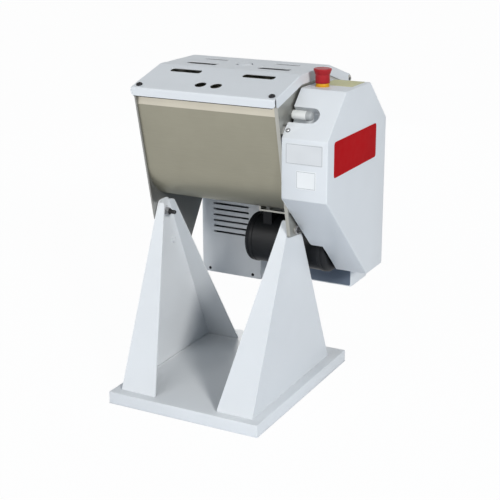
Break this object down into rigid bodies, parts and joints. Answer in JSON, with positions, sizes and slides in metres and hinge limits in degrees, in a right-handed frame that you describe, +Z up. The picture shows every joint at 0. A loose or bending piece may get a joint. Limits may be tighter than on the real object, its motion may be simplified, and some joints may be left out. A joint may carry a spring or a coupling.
{
  "type": "tilting bowl dough mixer",
  "caption": "Dough mixer with a tilting trough bowl, folded vented lid, helical bar agitator and side drive cover, pivoting on folded sheet supports over a flat tray base",
  "frame": {"origin": "centre of the base's underside, on the floor", "axes": "+X to the machine's right along the pivot (towards the drive cover), +Y to the back, +Z up"},
  "size_m": [0.497, 0.601, 0.7885],
  "materials": {
    "paint": "smooth light grey-white paint",
    "stainless": "fine satin stainless sheet",
    "zinc": "zinc-plated or ground steel",
    "motor_black": "semi-gloss black paint",
    "rubber": "matt black rubber",
    "bronze": "plain bearing bronze",
    "nylon": "off-white nylon",
    "grey_plastic": "grey plastic",
    "dark_plastic": "dark plastic",
    "red_plastic": "glossy red plastic",
    "yellow_plastic": "glossy yellow plastic"
  },
  "bodies": {
    "frame": {"base_tray": "paint", "base_stiffener": "paint", "left_support": "paint", "right_support": "paint", "left_pivot_bolt": "zinc", "left_pivot_nut": "zinc", "left_pivot_washer": "zinc", "right_pivot_bolt": "zinc", "right_pivot_nut": "zinc", "tilt_stop": "rubber"},
    "bowl": {"left_end_plate": "stainless", "right_end_plate": "stainless", "trough_shell": "stainless", "left_bearing_housing": "zinc", "right_bearing_housing": "zinc", "shaft_bushes": "bronze", "shaft_seals": "rubber", "lid_hinge_rod": "zinc", "rear_casing": "paint", "louvre_box": "paint", "casing_screws": "zinc", "drive_cover": "paint", "cover_brackets": "zinc", "cover_screws": "zinc", "grip_pocket": "paint", "tilt_grip": "nylon", "grip_end_cap": "grey_plastic", "estop_collar": "yellow_plastic", "estop_body": "dark_plastic", "motor_housing": "motor_black", "motor_rear_bell": "motor_black", "motor_front_bell": "motor_black", "motor_feet": "motor_black", "motor_bracket": "stainless", "motor_bolts": "zinc", "drive_belt": "rubber", "layshaft_housing": "zinc", "layshaft_bushes": "bronze", "contactor": "dark_plastic", "cable_gland": "dark_plastic"},
    "lid": {"lid_panel": "paint", "lid_knuckles": "zinc", "lid_feet": "rubber", "lid_screws": "dark_plastic"},
    "agitator": {"agitator_shaft": "zinc", "agitator_bars": "stainless", "main_gear": "zinc"},
    "layshaft": {"layshaft": "zinc", "pinion": "zinc", "large_pulley": "zinc"},
    "motor_rotor": {"motor_shaft": "zinc", "motor_pulley": "zinc", "motor_fan": "dark_plastic"},
    "estop_plunger": {"estop_plunger": "dark_plastic"},
    "estop_head": {"estop_head": "red_plastic"}
  },
  "joints": [
    {"name": "bowl_tilt", "type": "hinge", "parent": "frame", "child": "bowl", "pos_m": [0, -0.019, 0.425], "axis": [1, 0, 0], "range_deg": [0, 100]},
    {"name": "lid_hinge", "type": "hinge", "parent": "bowl", "child": "lid", "pos_m": [0, 0.279, 0.731], "axis": [-1, 0, 0], "range_deg": [0, 100]},
    {"name": "agitator_spin", "type": "hinge", "parent": "bowl", "child": "agitator", "pos_m": [0, 0.03, 0.574], "axis": [1, 0, 0], "continuous": true},
    {"name": "layshaft_spin", "type": "hinge", "parent": "bowl", "child": "layshaft", "pos_m": [0, 0.13037, 0.46253], "axis": [1, 0, 0], "continuous": true},
    {"name": "motor_spin", "type": "hinge", "parent": "bowl", "child": "motor_rotor", "pos_m": [0, 0.14, 0.343], "axis": [1, 0, 0], "continuous": true},
    {"name": "estop_press", "type": "slide", "parent": "bowl", "child": "estop_plunger", "axis": [0, 0, -1], "range_m": [0, 0.005], "stiffness_N_per_m": 800},
    {"name": "estop_twist", "type": "hinge", "parent": "estop_plunger", "child": "estop_head", "pos_m": [0.22, 0.035, 0.77], "axis": [0, 0, -1], "range_deg": [0, 45], "stiffness_Nm_per_rad": 0.02}
  ],
  "couplings": [
    {"joint": "layshaft_spin", "follows": "agitator_spin", "ratio": -4},
    {"joint": "motor_spin", "follows": "agitator_spin", "ratio": -14.667}
  ]
}
